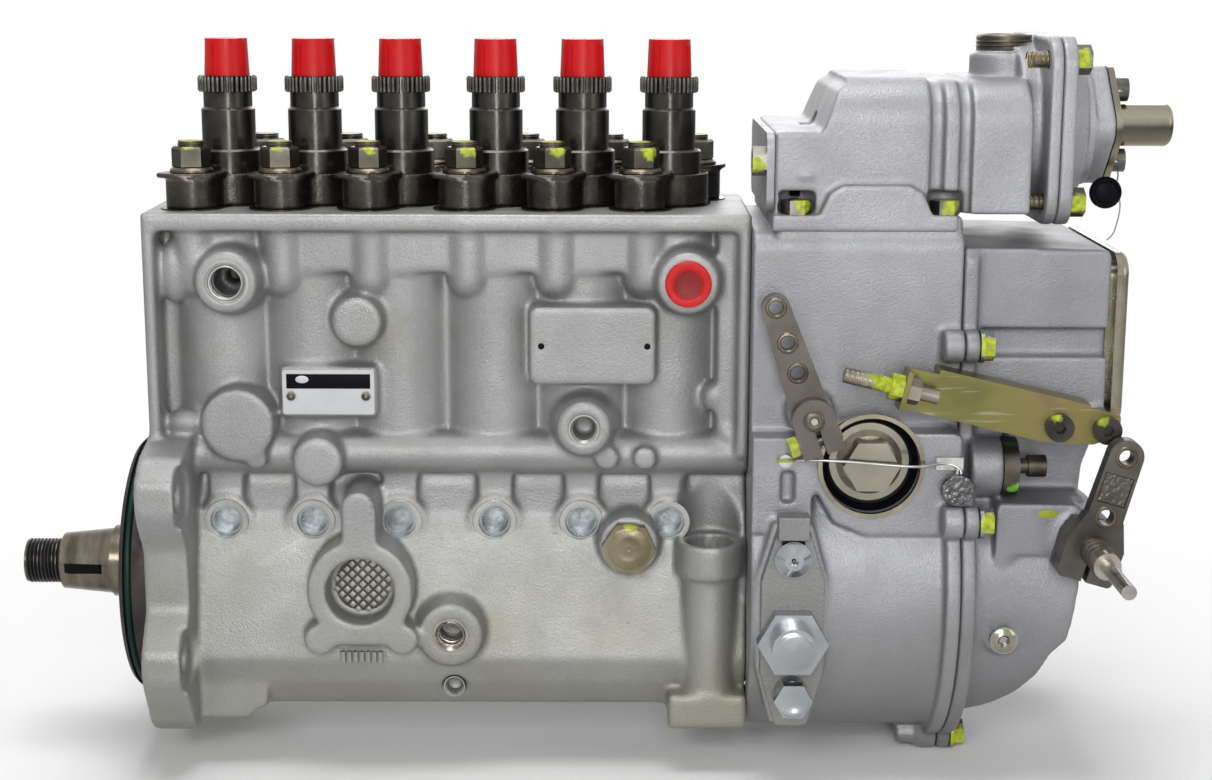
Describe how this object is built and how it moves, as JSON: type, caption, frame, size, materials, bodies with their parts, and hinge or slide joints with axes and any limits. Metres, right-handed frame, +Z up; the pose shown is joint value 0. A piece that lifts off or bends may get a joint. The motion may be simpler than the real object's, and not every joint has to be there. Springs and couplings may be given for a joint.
{
  "type": "diesel injection pump",
  "caption": "In-line diesel injection pump: cast housing with a row of capped delivery valves, drive flange, governor with levers, and a boost control on top.",
  "frame": {"origin": "centre of the drive flange pilot, on the mounting face", "axes": "+X along the camshaft towards the governor, -Y towards the fuel ports and levers, +Z up along the pumping elements"},
  "size_m": [0.4717, 0.2035, 0.2954],
  "materials": {
    "cast_aluminium": "matte as-cast",
    "cast_cover": "matte as-cast",
    "black_oxide_steel": "black oxide, satin",
    "machined_steel": "ground",
    "bearing_metal": "bored",
    "flyweight_iron": "machined",
    "rusty_iron": "rust bloom",
    "seal_rubber": "satin",
    "red_plastic": "glossy, slightly see-through",
    "zinc_steel": "zinc plated",
    "yellow_zinc": "yellow passivated",
    "lever_steel": "forged, brownish",
    "label_metal": "bare plate",
    "seal_lead": "soft lead and wire"
  },
  "bodies": {
    "pump_body": {"adjuster_fasteners": "zinc_steel", "adjuster_plate": "yellow_zinc", "barrel_flange_sleeves": "black_oxide_steel", "base_cover": "cast_cover", "boost_bolts": "zinc_steel", "boost_end_cap": "cast_cover", "boost_end_plate": "cast_cover", "boost_housing": "cast_aluminium", "bracket_screws": "zinc_steel", "camshaft_bearings": "machined_steel", "centre_bearing": "bearing_metal", "clamp_nuts": "black_oxide_steel", "clamp_studs": "black_oxide_steel", "cover_screws": "zinc_steel", "delivery_valve_holders": "black_oxide_steel", "delivery_valves": "machined_steel", "diaphragm_cover": "cast_cover", "drive_end_cover": "rusty_iron", "governor_bolts": "zinc_steel", "governor_cover": "cast_aluminium", "governor_housing": "cast_aluminium", "hex_plug": "zinc_steel", "inspection_plug": "zinc_steel", "inspection_plug_ring": "seal_rubber", "label_plate": "label_metal", "lever_stop_bracket": "yellow_zinc", "pilot_o_ring": "seal_rubber", "plunger_barrels": "machined_steel", "plunger_springs": "machined_steel", "pump_housing": "cast_aluminium", "rear_plate": "cast_cover", "roller_tappets": "machined_steel", "seal_wire": "seal_lead", "shaft_seal": "seal_rubber", "shipping_caps": "red_plastic", "side_cover_plate": "black_oxide_steel", "side_stop_screw": "zinc_steel", "spring_seats": "machined_steel", "stop_rod": "machined_steel", "tappet_hole_plugs": "zinc_steel", "timing_shims": "black_oxide_steel"},
    "camshaft_body": {"camshaft": "machined_steel", "woodruff_key": "machined_steel", "flyweight_hub": "machined_steel"},
    "rack_body": {"control_rack": "machined_steel"},
    "governor_lever_body": {"governor_lever": "machined_steel"},
    "governor_sleeve_body": {"governor_sleeve": "machined_steel"},
    "flyweight_a_body": {"flyweight_a": "flyweight_iron"},
    "flyweight_b_body": {"flyweight_b": "flyweight_iron"},
    "stop_lever_body": {"stop_lever": "lever_steel", "stop_shaft": "machined_steel"},
    "throttle_lever_body": {"throttle_lever": "lever_steel", "throttle_shaft": "machined_steel"},
    "diaphragm_body": {"boost_diaphragm": "machined_steel"},
    "plunger_1_body": {"plunger_and_sleeve_1": "machined_steel"},
    "plunger_2_body": {"plunger_and_sleeve_2": "machined_steel"},
    "plunger_3_body": {"plunger_and_sleeve_3": "machined_steel"},
    "plunger_4_body": {"plunger_and_sleeve_4": "machined_steel"},
    "plunger_5_body": {"plunger_and_sleeve_5": "machined_steel"},
    "plunger_6_body": {"plunger_and_sleeve_6": "machined_steel"}
  },
  "joints": [
    {"name": "camshaft_turn", "type": "hinge", "parent": "pump_body", "child": "camshaft_body", "pos_m": [0, 0, 0], "axis": [1, 0, 0], "continuous": true},
    {"name": "rack_slide", "type": "slide", "parent": "pump_body", "child": "rack_body", "axis": [1, 0, 0], "range_m": [-0.0105, 0.0105]},
    {"name": "plunger_1_turn", "type": "hinge", "parent": "pump_body", "child": "plunger_1_body", "pos_m": [0.03, 0, 0.09], "axis": [0, 0, 1], "range_deg": [-34.4, 34.4]},
    {"name": "plunger_2_turn", "type": "hinge", "parent": "pump_body", "child": "plunger_2_body", "pos_m": [0.065, 0, 0.09], "axis": [0, 0, 1], "range_deg": [-34.4, 34.4]},
    {"name": "plunger_3_turn", "type": "hinge", "parent": "pump_body", "child": "plunger_3_body", "pos_m": [0.1, 0, 0.09], "axis": [0, 0, 1], "range_deg": [-34.4, 34.4]},
    {"name": "plunger_4_turn", "type": "hinge", "parent": "pump_body", "child": "plunger_4_body", "pos_m": [0.1383, 0, 0.09], "axis": [0, 0, 1], "range_deg": [-34.4, 34.4]},
    {"name": "plunger_5_turn", "type": "hinge", "parent": "pump_body", "child": "plunger_5_body", "pos_m": [0.1733, 0, 0.09], "axis": [0, 0, 1], "range_deg": [-34.4, 34.4]},
    {"name": "plunger_6_turn", "type": "hinge", "parent": "pump_body", "child": "plunger_6_body", "pos_m": [0.2083, 0, 0.09], "axis": [0, 0, 1], "range_deg": [-34.4, 34.4]},
    {"name": "governor_lever_turn", "type": "hinge", "parent": "pump_body", "child": "governor_lever_body", "pos_m": [0.3, 0, 0.027], "axis": [0, 1, 0], "range_deg": [-11, 11]},
    {"name": "governor_sleeve_slide", "type": "slide", "parent": "camshaft_body", "child": "governor_sleeve_body", "axis": [1, 0, 0], "range_m": [-0.0052, 0.0052]},
    {"name": "flyweight_a_slide", "type": "slide", "parent": "camshaft_body", "child": "flyweight_a_body", "axis": [0, 0, 1], "range_m": [-0.005, 0.005]},
    {"name": "flyweight_b_slide", "type": "slide", "parent": "camshaft_body", "child": "flyweight_b_body", "axis": [0, 0, -1], "range_m": [-0.005, 0.005]},
    {"name": "stop_lever_turn", "type": "hinge", "parent": "pump_body", "child": "stop_lever_body", "pos_m": [0.2622, -0.065, 0.0777], "axis": [0, 1, 0], "range_deg": [-12, 22]},
    {"name": "throttle_lever_turn", "type": "hinge", "parent": "pump_body", "child": "throttle_lever_body", "pos_m": [0.3708, -0.07, 0.0273], "axis": [0, 1, 0], "range_deg": [-25, 20]},
    {"name": "diaphragm_slide", "type": "slide", "parent": "pump_body", "child": "diaphragm_body", "axis": [-1, 0, 0], "range_m": [0, 0.006], "stiffness_N_per_m": 2000}
  ],
  "couplings": [
    {"joint": "plunger_1_turn", "follows": "rack_slide", "rad_per_m": 57.143},
    {"joint": "plunger_2_turn", "follows": "rack_slide", "rad_per_m": 57.143},
    {"joint": "plunger_3_turn", "follows": "rack_slide", "rad_per_m": 57.143},
    {"joint": "plunger_4_turn", "follows": "rack_slide", "rad_per_m": 57.143},
    {"joint": "plunger_5_turn", "follows": "rack_slide", "rad_per_m": 57.143},
    {"joint": "plunger_6_turn", "follows": "rack_slide", "rad_per_m": 57.143},
    {"joint": "governor_lever_turn", "follows": "rack_slide", "rad_per_m": 18.182},
    {"joint": "governor_sleeve_slide", "follows": "rack_slide", "ratio": -0.4909},
    {"joint": "flyweight_a_slide", "follows": "rack_slide", "ratio": -0.4762},
    {"joint": "flyweight_b_slide", "follows": "rack_slide", "ratio": -0.4762}
  ]
}
